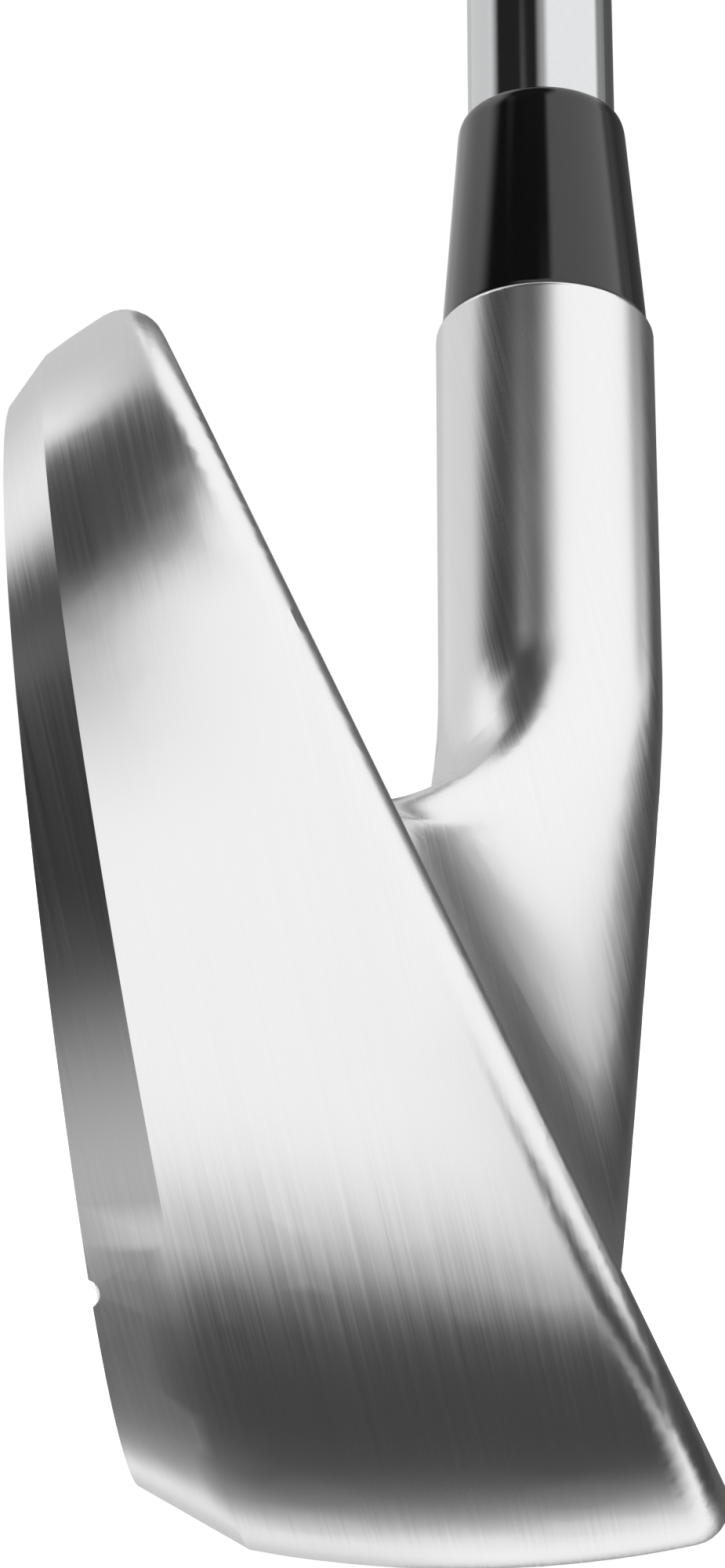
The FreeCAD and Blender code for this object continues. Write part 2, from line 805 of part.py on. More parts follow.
def build_grip(doc):
    """Build the grip sleeve: a lip at its mouth, a long taper and a wider end."""
    lip_top = f"{GRIP_START} + {size('grip_lip_length')}"
    shoulder = f"{BUTT} - {size('grip_shoulder_depth')}"
    lip_radius = f"{TAPE_RADIUS} + {size('grip_lip_wall')}"
    grip = turned_body(
        doc,
        "grip",
        [
            (TAPE_RADIUS, GRIP_START),
            (lip_radius, GRIP_START),
            (lip_radius, lip_top),
            (f"{TAPE_RADIUS} + {size('grip_mouth_wall')}", lip_top),
            (f"{size('grip_shoulder_diameter')} / 2", shoulder),
            (f"{size('grip_end_diameter')} / 2", BUTT),
            (TAPE_RADIUS, BUTT),
        ],
    )
    cap_radius = f"{size('grip_cap_diameter')} / 2"
    cap_top = f"{BUTT} + {size('grip_cap_thickness')}"
    cap = turned_body(
        doc,
        "grip_cap",
        [
            (f"{size('vent_diameter')} / 2", BUTT),
            (cap_radius, BUTT),
            (cap_radius, cap_top),
            (f"{size('vent_diameter')} / 2", cap_top),
        ],
    )
    round_ring_edges(doc, cap, size("grip_cap_round"), cap_top, cap_radius)
    return [grip, cap]


def check_document(doc, pieces):
    """Stop if an object failed or a piece has no valid solid."""
    for item in doc.Objects:
        if "Invalid" in item.State or "Error" in item.State:
            raise RuntimeError(f"{item.Name} failed: {item.State}")
    for piece in pieces:
        shape = piece.Shape
        if shape.isNull() or not shape.isValid() or not shape.Solids:
            raise RuntimeError(f"{piece.Label} has no valid solid")


def build():
    """Build the whole club and write one STEP file for each piece."""
    doc = FreeCAD.newDocument("iron_golf_club")
    sheet = write_dimensions(doc)
    outlines = blade_outlines(sheet)
    pieces = [build_head_body(doc, sheet, outlines), build_face_plate(doc, sheet, outlines)]
    pieces += build_inner_pieces(doc, sheet, outlines)
    pieces += build_cover(doc, sheet, outlines)
    pieces += [build_ferrule(doc), build_shaft(doc, sheet)]
    pieces += build_sleeves(doc)
    pieces += build_grip(doc)
    doc.recompute()
    check_document(doc, pieces)
    os.makedirs("parts", exist_ok=True)
    for piece in pieces:
        piece.Shape.exportStep(f"parts/{piece.Label}.step")
        volume = piece.Shape.Volume / 1000
        print(f"{piece.Label}: {len(piece.Shape.Solids)} solid, {volume:.2f} cm3")


build()
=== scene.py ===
"""Studio view of an iron golf club, seen from its toe end.

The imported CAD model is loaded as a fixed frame. The visible pieces are dressed copies of the
head's metal parts and newly turned pieces for everything that sits on the shaft axis.
"""

import json
import logging
import math
from dataclasses import dataclass, field
from enum import Enum
from typing import ClassVar

import bpy
from mathutils import Matrix, Vector

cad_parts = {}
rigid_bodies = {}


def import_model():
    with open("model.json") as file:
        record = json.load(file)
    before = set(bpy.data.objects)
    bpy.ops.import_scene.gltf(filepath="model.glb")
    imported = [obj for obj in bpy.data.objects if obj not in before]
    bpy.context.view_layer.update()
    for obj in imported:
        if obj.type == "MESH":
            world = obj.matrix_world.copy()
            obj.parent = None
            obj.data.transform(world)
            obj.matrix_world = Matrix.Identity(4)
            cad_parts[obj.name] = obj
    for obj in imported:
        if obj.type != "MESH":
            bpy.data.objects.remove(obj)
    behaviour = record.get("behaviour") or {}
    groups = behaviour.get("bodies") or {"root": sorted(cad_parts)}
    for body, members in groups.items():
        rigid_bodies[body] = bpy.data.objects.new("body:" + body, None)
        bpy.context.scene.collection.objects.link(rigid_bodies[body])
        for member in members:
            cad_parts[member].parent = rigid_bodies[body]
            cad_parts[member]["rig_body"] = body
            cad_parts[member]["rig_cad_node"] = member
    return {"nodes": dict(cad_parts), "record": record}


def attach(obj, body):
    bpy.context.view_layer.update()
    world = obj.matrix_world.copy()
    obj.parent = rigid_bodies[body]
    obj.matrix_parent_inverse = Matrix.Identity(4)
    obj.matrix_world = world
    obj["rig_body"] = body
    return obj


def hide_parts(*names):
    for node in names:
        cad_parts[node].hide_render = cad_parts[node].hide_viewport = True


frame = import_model()

LOG = logging.getLogger("iron_golf_club")
MM = 0.001
ROOT = "root"

# Vertices closer than this are joined, in a copied mesh and along the seam of a turned one.
JOIN_DISTANCE = 1e-6
SEAM_DISTANCE = 2e-6

# Edges shorter than this are dropped.
SLIVER_LENGTH = 1e-7

# Largest share of a profile's leg that the rounding at one of its ends may take.
LEG_SHARE = 0.49


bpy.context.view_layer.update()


# ---- small helpers -------------------------------------------------------------------------


def linear(hex_colour: str) -> tuple[float, float, float, float]:
    """Turn an sRGB hex colour into the linear values that a shader socket takes.

    Args:
        hex_colour: Six hex digits, with or without a leading hash.

    Returns:
        Linear red, green and blue, and an alpha of one.
    """
    digits = hex_colour.lstrip("#")
    channels = []
    for start in (0, 2, 4):
        value = int(digits[start : start + 2], 16) / 255
        if value <= 0.04045:
            channels.append(value / 12.92)
        else:
            channels.append(((value + 0.055) / 1.055) ** 2.4)
    return channels[0], channels[1], channels[2], 1.0


def add_node(
    tree: bpy.types.NodeTree,
    kind: str,
    settings: dict[str, object] | None = None,
    **links: object,
) -> bpy.types.Node:
    """Add a node, set it up and link it.

    Args:
        tree: The node tree to add to.
        kind: The node's type name.
        settings: Attributes of the node, such as its operation.
        links: Inputs by name (an underscore stands for a space) or by number (in0, in1);
            each is a value, or the output socket that feeds it.

    Returns:
        The new node.
    """
    node = tree.nodes.new(kind)
    for name, value in (settings or {}).items():
        setattr(node, name, value)
    for name, value in links.items():
        number = name[2:]
        if name.startswith("in") and number.isdigit():
            socket = node.inputs[int(number)]
        else:
            socket = node.inputs[name.replace("_", " ")]
        if isinstance(value, bpy.types.NodeSocket):
            tree.links.new(value, socket)
        else:
            socket.default_value = value
    return node


def deselect() -> None:
    """Leave edit mode if it is on, and select nothing."""
    if bpy.context.object and bpy.context.object.mode != "OBJECT":
        bpy.ops.object.mode_set(mode="OBJECT")
    bpy.ops.object.select_all(action="DESELECT")


def activate(piece: bpy.types.Object) -> None:
    """Select one piece and make it the active object."""
    deselect()
    piece.select_set(True)
    bpy.context.view_layer.objects.active = piece


# ---- finishes ------------------------------------------------------------------------------


# Finer layers in the noise of a fine grain, and in that of a wide patchiness.
GRAIN_DETAIL = 3.0
PATCH_DETAIL = 2.0


def start_material(
    name: str,
) -> tuple[bpy.types.Material, bpy.types.NodeTree, bpy.types.Node]:
    """Start a material.

    Args:
        name: The material's name.

    Returns:
        The material, its node tree and its shader.
    """
    material = bpy.data.materials.new(name)
    material.use_nodes = True
    tree = material.node_tree
    return material, tree, tree.nodes["Principled BSDF"]


class Brush(Enum):
    """Direction in which a metal part was brushed, as the long axis of its fine lines.

    Each value is the turn in radians that brings those lines upright. UPRIGHT lines lean to
    the back by 13 degrees, LEVEL lines run from heel to toe, and SLANTED lines cross the
    shaft at 54 degrees.
    """

    UPRIGHT = (math.radians(13.0), 0.0, 0.0)
    LEVEL = (0.0, math.radians(90.0), 0.0)
    SLANTED = (0.0, math.radians(27.0), 0.0)


@dataclass(frozen=True)
class BrushedMetal:
    """A metal surface with fine parallel brush lines.

    The lines are drawn as long thin noise. Each line tilts the surface by a little, so that
    the edge of a reflection breaks up into fine streaks, as it does on brushed steel. Line
    sizes and relief are in millimetres; a line_depth as large as the line's length carries
    each line evenly over a surface that curves away.
    """

    LINE_ROUGHNESS: ClassVar[float] = 0.6
    LINE_SPAN: ClassVar[tuple[float, float]] = (0.25, 0.75)
    PATCH_SCALE: ClassVar[float] = 90.0
    PATCH_SPAN: ClassVar[tuple[float, float]] = (0.6, 1.4)

    name: str
    colour: str
    dark_colour: str
    roughness: float
    roughness_swing: float
    brush: Brush
    line_width: float
    line_length: float
    line_depth: float
    tilt: float
    relief: float

    def build(self) -> bpy.types.Material:
        """Build the material.

        Returns:
            The new material.
        """
        material, tree, shader = start_material(self.name)
        shader.inputs["Metallic"].default_value = 1.0
        place = add_node(tree, "ShaderNodeTexCoord")
        lines = self.lines(tree, place.outputs["Object"])
        wide = add_node(
            tree,
            "ShaderNodeTexNoise",
            Vector=place.outputs["Object"],
            Scale=self.PATCH_SCALE,
            Detail=PATCH_DETAIL,
        )
        colour = add_node(
            tree,
            "ShaderNodeMix",
            {"data_type": "RGBA"},
            Factor=lines,
            in6=linear(self.dark_colour),
            in7=linear(self.colour),
        )
        tree.links.new(colour.outputs[2], shader.inputs["Base Color"])
        patchy = add_node(
            tree,
            "ShaderNodeMath",
            {"operation": "ADD"},
            in0=lines,
            in1=wide.outputs["Fac"],
        )
        rough = add_node(
            tree,
            "ShaderNodeMapRange",
            Value=patchy.outputs["Value"],
            From_Min=self.PATCH_SPAN[0],
            From_Max=self.PATCH_SPAN[1],
            To_Min=self.roughness - self.roughness_swing,
            To_Max=self.roughness + self.roughness_swing,
        )
        tree.links.new(rough.outputs["Result"], shader.inputs["Roughness"])
        swing = add_node(
            tree,
            "ShaderNodeMapRange",
            Value=lines,
            From_Min=self.LINE_SPAN[0],
            From_Max=self.LINE_SPAN[1],
            To_Min=-self.tilt,
            To_Max=self.tilt,
        )
        lift = add_node(tree, "ShaderNodeCombineXYZ", Z=swing.outputs["Result"])
        bump = add_node(
            tree, "ShaderNodeBump", Strength=1.0, Distance=self.relief * MM, Height=lines
        )
        leaning = add_node(
            tree,
            "ShaderNodeVectorMath",
            {"operation": "ADD"},
            in0=bump.outputs["Normal"],
            in1=lift.outputs["Vector"],
        )
        unit = add_node(
            tree,
            "ShaderNodeVectorMath",
            {"operation": "NORMALIZE"},
            in0=leaning.outputs["Vector"],
        )
        tree.links.new(unit.outputs["Vector"], shader.inputs["Normal"])
        return material

    def lines(
        self, tree: bpy.types.NodeTree, place: bpy.types.NodeSocket
    ) -> bpy.types.NodeSocket:
        """Add the pattern of brush lines.

        Args:
            tree: The material's node tree.
            place: Socket with the place on the piece.

        Returns:
            The socket with the pattern, from 0 to 1.
        """
        turned = add_node(
            tree,
            "ShaderNodeVectorRotate",
            {"rotation_type": "EULER_XYZ"},
            Vector=place,
            Rotation=self.brush.value,
        )
        sizes = (self.line_depth, self.line_width, self.line_length)
        stretched = add_node(
            tree,
            "ShaderNodeMapping",
            Vector=turned.outputs["Vector"],
            Scale=tuple(1.0 / (size * MM) for size in sizes),
        )
        pattern = add_node(
            tree,
            "ShaderNodeTexNoise",
            Vector=stretched.outputs["Vector"],
            Scale=1.0,
            Detail=GRAIN_DETAIL,
            Roughness=self.LINE_ROUGHNESS,
        )
        return pattern.outputs["Fac"]


@dataclass(frozen=True)
class Plain:
    """A plain manufactured surface with a fine grain and slight patchiness.

    Grain and relief are in millimetres.
    """

    PATCH_SCALE: ClassVar[float] = 120.0
    PATCH_SPAN: ClassVar[tuple[float, float]] = (0.3, 0.7)
    COAT_ROUGHNESS: ClassVar[float] = 0.03

    name: str
    colour: str
    second_colour: str
    roughness: float
    roughness_swing: float
    grain: float
    relief: float
    metallic: float = 0.0
    coat: float = 0.0

    def build(self) -> bpy.types.Material:
        """Build the material.

        Returns:
            The new material.
        """
        material, tree, shader = start_material(self.name)
        shader.inputs["Metallic"].default_value = self.metallic
        shader.inputs["Coat Weight"].default_value = self.coat
        shader.inputs["Coat Roughness"].default_value = self.COAT_ROUGHNESS
        place = add_node(tree, "ShaderNodeTexCoord")
        fine = add_node(
            tree,
            "ShaderNodeTexNoise",
            Vector=place.outputs["Object"],
            Scale=1.0 / (self.grain * MM),
            Detail=GRAIN_DETAIL,
        )
        wide = add_node(
            tree,
            "ShaderNodeTexNoise",
            Vector=place.outputs["Object"],
            Scale=self.PATCH_SCALE,
            Detail=PATCH_DETAIL,
        )
        colour = add_node(
            tree,
            "ShaderNodeMix",
            {"data_type": "RGBA"},
            Factor=fine.outputs["Fac"],
            in6=linear(self.colour),
            in7=linear(self.second_colour),
        )
        tree.links.new(colour.outputs[2], shader.inputs["Base Color"])
        rough = add_node(
            tree,
            "ShaderNodeMapRange",
            Value=wide.outputs["Fac"],
            From_Min=self.PATCH_SPAN[0],
            From_Max=self.PATCH_SPAN[1],
            To_Min=self.roughness - self.roughness_swing,
            To_Max=self.roughness + self.roughness_swing,
        )
        tree.links.new(rough.outputs["Result"], shader.inputs["Roughness"])
        bump = add_node(
            tree,
            "ShaderNodeBump",
            Strength=1.0,
            Distance=self.relief * MM,
            Height=fine.outputs["Fac"],
        )
        tree.links.new(bump.outputs["Normal"], shader.inputs["Normal"])
        return material


@dataclass(frozen=True)
class GripRubber:
    """Moulded grip rubber with a pressed pattern of small lozenges and a dusty bloom.

    The lozenges stand a number of times around the sleeve; pitch and relief are in millimetres.
    """

    ROUGHNESS: ClassVar[float] = 0.62
    GRAIN_SCALE: ClassVar[float] = 2500.0
    GRAIN_SHARE: ClassVar[float] = 0.25
    GROOVE_EDGES: ClassVar[tuple[float, float]] = (0.03, 0.16)
    HALF_WAVE: ClassVar[float] = 0.5

    name: str
    colour: str
    bloom: str
    around: int
    pitch: float
    relief: float

    def build(self) -> bpy.types.Material:
        """Build the material.

        Returns:
            The new material.
        """
        material, tree, shader = start_material(self.name)
        shader.inputs["Roughness"].default_value = self.ROUGHNESS
        place = add_node(tree, "ShaderNodeTexCoord")
        height = self.lozenges(tree, place.outputs["UV"])
        grain = add_node(
            tree,
            "ShaderNodeTexNoise",
            Vector=place.outputs["Object"],
            Scale=self.GRAIN_SCALE,
            Detail=GRAIN_DETAIL,
        )
        surface = add_node(
            tree,
            "ShaderNodeMath",
            {"operation": "MULTIPLY_ADD"},
            in0=grain.outputs["Fac"],
            in1=self.GRAIN_SHARE,
            in2=height,
        )
        bump = add_node(
            tree,
            "ShaderNodeBump",
            Strength=1.0,
            Distance=self.relief * MM,
            Height=surface.outputs["Value"],
        )
        tree.links.new(bump.outputs["Normal"], shader.inputs["Normal"])
        colour = add_node(
            tree,
            "ShaderNodeMix",
            {"data_type": "RGBA"},
            Factor=height,
            in6=linear(self.colour),
            in7=linear(self.bloom),
        )
        tree.links.new(colour.outputs[2], shader.inputs["Base Color"])
        return material

    def lozenges(
        self, tree: bpy.types.NodeTree, place: bpy.types.NodeSocket
    ) -> bpy.types.NodeSocket:
        """Add the pattern of lozenges.

        Args:
            tree: The material's node tree.
            place: Socket with the piece's UV map, where u counts turns and v is in metres.

        Returns:
            The socket with the pattern, 0 in the grooves and 1 on the lozenges.
        """
        split = add_node(tree, "ShaderNodeSeparateXYZ", Vector=place)
        turns = add_node(
            tree,
            "ShaderNodeMath",
            {"operation": "MULTIPLY"},
            in0=split.outputs["X"],
            in1=float(self.around),
        )
        rows = add_node(
            tree,
            "ShaderNodeMath",
            {"operation": "DIVIDE"},
            in0=split.outputs["Y"],
            in1=self.pitch * MM,
        )
        ridges = []
        for operation in ("ADD", "SUBTRACT"):
            slanted = add_node(
                tree,
                "ShaderNodeMath",
                {"operation": operation},
                in0=turns.outputs["Value"],
                in1=rows.outputs["Value"],
            )
            wave = add_node(
                tree,
                "ShaderNodeMath",
                {"operation": "PINGPONG"},
                in0=slanted.outputs["Value"],
                in1=self.HALF_WAVE,
            )
            ridges.append(wave.outputs["Value"])
        lozenge = add_node(
            tree, "ShaderNodeMath", {"operation": "MINIMUM"}, in0=ridges[0], in1=ridges[1]
        )
        low, high = self.GROOVE_EDGES
        height = add_node(
            tree,
            "ShaderNodeMapRange",
            {"interpolation_type": "SMOOTHSTEP"},
            Value=lozenge.outputs["Value"],
            From_Min=low,
            From_Max=high,
        )
        return height.outputs["Result"]


# Cast stainless steel, ground and then brushed by hand: bright, with fine streaks that lean.
BODY_STEEL = BrushedMetal(
    name="brushed_stainless_steel",
    colour="#f2f2f2",
    dark_colour="#eaeaeb",
    roughness=0.25,
    roughness_swing=0.04,
    brush=Brush.UPRIGHT,
    line_width=0.18,
    line_length=26.0,
    line_depth=26.0,
    tilt=0.018,
    relief=0.0012,
)

# Forged steel plate, milled flat across the face and bead blasted: darker and duller.
FACE_STEEL = BrushedMetal(
    name="milled_maraging_steel",
    colour="#c9c9ca",
    dark_colour="#b4b4b6",
    roughness=0.30,
    roughness_swing=0.05,
    brush=Brush.LEVEL,
    line_width=0.25,
    line_length=30.0,
    line_depth=0.25,
    tilt=0.01,
    relief=0.004,
)

# Anodised aluminium plaque, brushed level: pale grey, silky.
PLAQUE_ALUMINIUM = BrushedMetal(
    name="brushed_anodised_aluminium",
    colour="#b9bbbd",
    dark_colour="#9c9ea1",
    roughness=0.28,
    roughness_swing=0.04,
    brush=Brush.LEVEL,
    line_width=0.20,
    line_length=24.0,
    line_depth=0.20,
    tilt=0.012,
    relief=0.003,
)

# Decorative chrome over nickel on a drawn steel tube: a clear mirror with faint, slanted lines.
TUBE_CHROME = BrushedMetal(
    name="chromium_plated_steel",
    colour="#e0e1e2",
    dark_colour="#dadbdc",
    roughness=0.045,
    roughness_swing=0.012,
    brush=Brush.SLANTED,
    line_width=0.5,
    line_length=40.0,
    line_depth=0.5,
    tilt=0.001,
    relief=0.0004,
)

# Cellulose acetate butyrate, turned and buffed: deep gloss black.
FERRULE_PLASTIC = Plain(
    name="buffed_cellulose_acetate",
    colour="#0b0b0c",
    second_colour="#121213",
    roughness=0.10,
    roughness_swing=0.03,
    grain=0.4,
    relief=0.0008,
    coat=0.5,
)

# Moulded ABS badge frame: black, slightly textured.
BADGE_PLASTIC = Plain(
    name="moulded_black_abs",
    colour="#0d0d0e",
    second_colour="#161617",
    roughness=0.28,
    roughness_swing=0.05,
    grain=0.35,
    relief=0.006,
    coat=0.2,
)

# Sintered tungsten alloy bar: dull, dark, granular.
WEIGHT_METAL = Plain(
    name="sintered_tungsten_alloy",
    colour="#6a6a6d",
    second_colour="#59595c",
    roughness=0.45,
    roughness_swing=0.05,
    grain=0.12,
    relief=0.01,
    metallic=1.0,
)

# Soft thermoplastic elastomer, cast in place: charcoal, matt.
DAMPER_RUBBER = Plain(
    name="cast_thermoplastic_elastomer",
    colour="#1b1b1d",
    second_colour="#242426",
    roughness=0.6,
    roughness_swing=0.05,
    grain=0.5,
    relief=0.01,
)

# Acrylic foam tape: off-white and porous.
FOAM_TAPE = Plain(
    name="acrylic_foam_tape",
    colour="#dcdcd6",
    second_colour="#c6c6c0",
    roughness=0.75,
    roughness_swing=0.05,
    grain=0.2,
    relief=0.02,
)

# Cured two-part epoxy: translucent amber look, glossy.
EPOXY = Plain(
    name="cured_epoxy_resin",
    colour="#c2b184",
    second_colour="#b09d6c",
    roughness=0.25,
    roughness_swing=0.05,
    grain=0.6,
    relief=0.003,
)

# Free-machining brass plug: yellow metal with turning marks.
PLUG_BRASS = Plain(
    name="turned_brass",
    colour="#d9b36c",
    second_colour="#c9a25c",
    roughness=0.25,
    roughness_swing=0.05,
    grain=0.15,
    relief=0.003,
    metallic=1.0,
)

# Crepe paper masking tape: buff and wrinkled.
GRIP_TAPE_PAPER = Plain(
    name="crepe_masking_tape",
    colour="#d8cca6",
    second_colour="#c4b78f",
    roughness=0.8,
    roughness_swing=0.05,
    grain=0.3,
    relief=0.03,
)

# Natural rubber and cork compound, compression moulded: near black with worn, paler ridges.
SLEEVE_RUBBER = GripRubber(
    name="compression_moulded_rubber",
    colour="#0f0f10",
    bloom="#232324",
    around=26,
    pitch=3.2,
    relief=0.22,
)

# The same compound in the cap, smooth from its polished mould.
CAP_RUBBER = Plain(
    name="smooth_moulded_rubber",
    colour="#141415",
    second_colour="#1c1c1d",
    roughness=0.48,
    roughness_swing=0.06,
    grain=0.3,
    relief=0.01,
)


# ---- the shaft axis ------------------------------------------------------------------------


@dataclass
class ShaftAxis:
    """The line that the hosel, ferrule, shaft and grip share, read from the record."""

    foot: Vector = field(default_factory=Vector)
    direction: Vector = field(default_factory=Vector)

    @classmethod
    def from_record(cls, record: dict) -> "ShaftAxis":
        """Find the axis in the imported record.

        Args:
            record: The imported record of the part.

        Returns:
            The axis; its foot is where it meets the ground.
        """
        mount = next(item for item in record["mounts"] if item["name"] == "vent")
        point = Vector(mount["pos_m"])
        direction = Vector(mount["axis"]).normalized()
        return cls(point - direction * (point.z / direction.z), direction)

    def matrix(self) -> Matrix:
        """Return the transform that puts an upright piece on the axis."""
        turn = Vector((0, 0, 1)).rotation_difference(self.direction)
        return Matrix.Translation(self.foot) @ turn.to_matrix().to_4x4()

    def rings(self, node: str) -> list[tuple[float, float]]:
        """Measure the rings of a turned CAD node.

        Args:
            node: The node's name.

        Returns:
            Pairs of height along the axis and radius, in metres, lowest ring first.
        """
        rings = set()
        for vertex in frame["nodes"][node].data.vertices:
            offset = vertex.co - self.foot
            height = offset.dot(self.direction)
            radius = (offset - self.direction * height).length
            rings.add((round(height, 5), round(radius, 5)))
        return sorted(rings)

    def levels(self, node: str) -> dict[float, list[float]]:
        """Return the radii of a turned CAD node at each of its heights."""
        levels: dict[float, list[float]] = {}
        for height, radius in self.rings(node):
            levels.setdefault(round(height, 4), []).append(radius)
        return levels


@dataclass
class TurnedPiece:
    """A closed profile turned about the shaft axis."""

    name: str
    axis: ShaftAxis
    steps: int = 96
    smooth_angle: float = 32.0

    def build(self, profile: list[tuple[float, float]]) -> bpy.types.Object:
        """Turn a profile into a mesh piece.

        Args:
            profile: Pairs of radius and height, in metres; the last one joins the first.

        Returns:
            The new piece, in place on the axis, with its own UV map.
        """
        piece = self.draw(profile)
        bpy.ops.mesh.spin(
            steps=self.steps, angle=math.tau, center=(0, 0, 0), axis=(0, 0, 1), dupli=False
        )
        bpy.ops.mesh.select_all(action="SELECT")
        bpy.ops.mesh.remove_doubles(threshold=SEAM_DISTANCE)
        bpy.ops.mesh.normals_make_consistent(inside=False)
        bpy.ops.object.mode_set(mode="OBJECT")
        bpy.ops.object.shade_smooth_by_angle(angle=math.radians(self.smooth_angle))
        self.map_surface(piece)
        piece.matrix_world = self.axis.matrix()
        bpy.ops.object.transform_apply(location=True, rotation=True, scale=True)
        return piece

    def draw(self, profile: list[tuple[float, float]]) -> bpy.types.Object:
        """Draw the closed profile in edit mode, and leave all of it selected.

        It starts from one vertex, a small plane merged at its centre, and is extruded from
        corner to corner.

        Args:
            profile: Pairs of radius and height.

        Returns:
            The piece that holds the profile.
        """
        deselect()
        radius, height = profile[0]
        bpy.ops.mesh.primitive_plane_add(size=MM, location=(radius, 0, height))
        piece = bpy.context.object
        piece.name = self.name
        piece.data.name = self.name
        bpy.ops.object.transform_apply(location=True, rotation=True, scale=True)
        bpy.ops.object.mode_set(mode="EDIT")
        bpy.ops.mesh.select_all(action="SELECT")
        bpy.ops.mesh.merge(type="CENTER")
        for corner, following in zip(profile, profile[1:]):
            step = (following[0] - corner[0], 0.0, following[1] - corner[1])
            bpy.ops.mesh.extrude_vertices_move(TRANSFORM_OT_translate={"value": step})
        bpy.ops.mesh.select_all(action="DESELECT")
        bpy.ops.object.mode_set(mode="OBJECT")
        for spot in (profile[0], profile[-1]):
            piece.data.vertices[self.nearest(piece, spot)].select = True
        bpy.ops.object.mode_set(mode="EDIT")
        bpy.ops.mesh.edge_face_add()
        bpy.ops.mesh.select_all(action="SELECT")
        return piece

    @staticmethod
    def nearest(piece: bpy.types.Object, spot: tuple[float, float]) -> int:
        """Return the index of the vertex nearest to a radius and height."""
        target = Vector((spot[0], 0, spot[1]))
        return min(piece.data.vertices, key=lambda item: (item.co - target).length).index

    @staticmethod
    def map_surface(piece: bpy.types.Object) -> None:
        """Give the piece a UV map: u counts turns and v is the height in metres."""
        layer = piece.data.uv_layers.new(name="turned")
        for face in piece.data.polygons:
            angles = []
            for loop in face.loop_indices:
                spot = piece.data.vertices[piece.data.loops[loop].vertex_index].co
                angles.append(math.atan2(spot.y, spot.x) / math.tau)
            wraps = max(angles) - min(angles) > 0.5
            for loop, angle in zip(face.loop_indices, angles):
                spot = piece.data.vertices[piece.data.loops[loop].vertex_index].co
                turn = angle + 1.0 if wraps and angle < 0 else angle
                layer.data[loop].uv = (turn, spot.z)


def rounded(
    corners: list[tuple[float, float]], radii: list[float], steps: int = 5
) -> list[tuple[float, float]]:
    """Round the corners of an open profile.

    Args:
        corners: Pairs of radius and height.
        radii: How far from each corner its rounding starts; zero keeps it sharp.
        steps: How many points each rounding gets, less one.

    Returns:
        The profile with its roundings.
    """
    result = []
    for index, (corner, reach) in enumerate(zip(corners, radii)):
        if reach <= 0 or index in (0, len(corners) - 1):
            result.append(corner)
            continue
        middle = Vector(corner)
        before = Vector(corners[index - 1]) - middle
        after = Vector(corners[index + 1]) - middle
        first = middle + before.normalized() * min(reach, before.length * LEG_SHARE)
        last = middle + after.normalized() * min(reach, after.length * LEG_SHARE)
        for step in range(steps + 1):
            share = step / steps
            spot = first.lerp(middle, share).lerp(middle.lerp(last, share), share)
            result.append((spot.x, spot.y))
    return result


# ---- the club's sub-assemblies -------------------------------------------------------------


def settle(
    piece: bpy.types.Object, finish: BrushedMetal | Plain | GripRubber, node: str
) -> None:
    """Dress a finished piece and hang it in the frame in place of its CAD node.

    Args:
        piece: The finished piece.
        finish: Its finish.
        node: The CAD node that it stands for.
    """
    piece.data.materials.clear()
    piece.data.materials.append(finish.build())
    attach(piece, ROOT)
    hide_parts(node)
    LOG.info("%s stands for %s with %d faces", piece.name, node, len(piece.data.polygons))


def copy_of(node: str, name: str, smooth_angle: float) -> bpy.types.Object:
    """Copy a CAD node's mesh into a piece of its own, joined up and smooth.

    Args:
        node: The CAD node.
        name: The new piece's name.
        smooth_angle: The angle in degrees below which faces are shaded as one.

    Returns:
        The new piece.
    """
    activate(frame["nodes"][node])
    bpy.ops.object.duplicate(linked=False)
    piece = bpy.context.object
    piece.parent = None
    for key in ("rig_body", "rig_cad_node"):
        if key in piece:
            del piece[key]
    piece.name = name
    piece.data.name = name
    activate(piece)
    bpy.ops.mesh.customdata_custom_splitnormals_clear()
    bpy.ops.object.mode_set(mode="EDIT")
    bpy.ops.mesh.select_all(action="SELECT")
    bpy.ops.mesh.remove_doubles(threshold=JOIN_DISTANCE)
    bpy.ops.mesh.dissolve_degenerate(threshold=SLIVER_LENGTH)
    bpy.ops.object.mode_set(mode="OBJECT")
    bpy.ops.object.shade_smooth_by_angle(angle=math.radians(smooth_angle))
    return piece


@dataclass
class Head:
    """The club head: a cast body with a welded face plate and a badge in its back."""

    body_angle: float = 16.0
    plate_angle: float = 30.0

    def build(self) -> None:
        """Dress the body, the face plate, the badge and its plaque."""
        for node, name, angle, finish in (
            ("head_body", "head_casting", self.body_angle, BODY_STEEL),
            ("face_plate", "face_insert", self.plate_angle, FACE_STEEL),
            ("back_badge", "badge_frame", self.plate_angle, BADGE_PLASTIC),
            ("badge_inlay", "badge_plaque", self.plate_angle, PLAQUE_ALUMINIUM),
        ):
            settle(copy_of(node, name, angle), finish, node)


@dataclass
class Ferrule:
    """The black collar above the hosel."""

    axis: ShaftAxis
    base_round: float = 0.25 * MM
    top_round: float = 1.1 * MM
    base_height: float = 0.1 * MM
    rim_height: float = 2.2 * MM
    rim_inset: float = 0.2 * MM
    round_steps: int = 8

    def build(self) -> None:
        """Turn the collar with a rounded upper rim and a softened lower edge."""
        rings = self.axis.rings("ferrule")
        low, high = rings[0][0], rings[-1][0]
        bore = min(radius for _, radius in rings)
        base = max(radius for height, radius in rings if height < low + self.base_height)
        rim = max(radius for height, radius in rings if height > high - self.rim_height)
        corners = [(bore, low), (base, low), (rim - self.rim_inset, high), (bore, high)]
        profile = rounded(corners, [0, self.base_round, self.top_round, 0], self.round_steps)
        piece = TurnedPiece("ferrule_collar", self.axis).build(profile)
        settle(piece, FERRULE_PLASTIC, "ferrule")


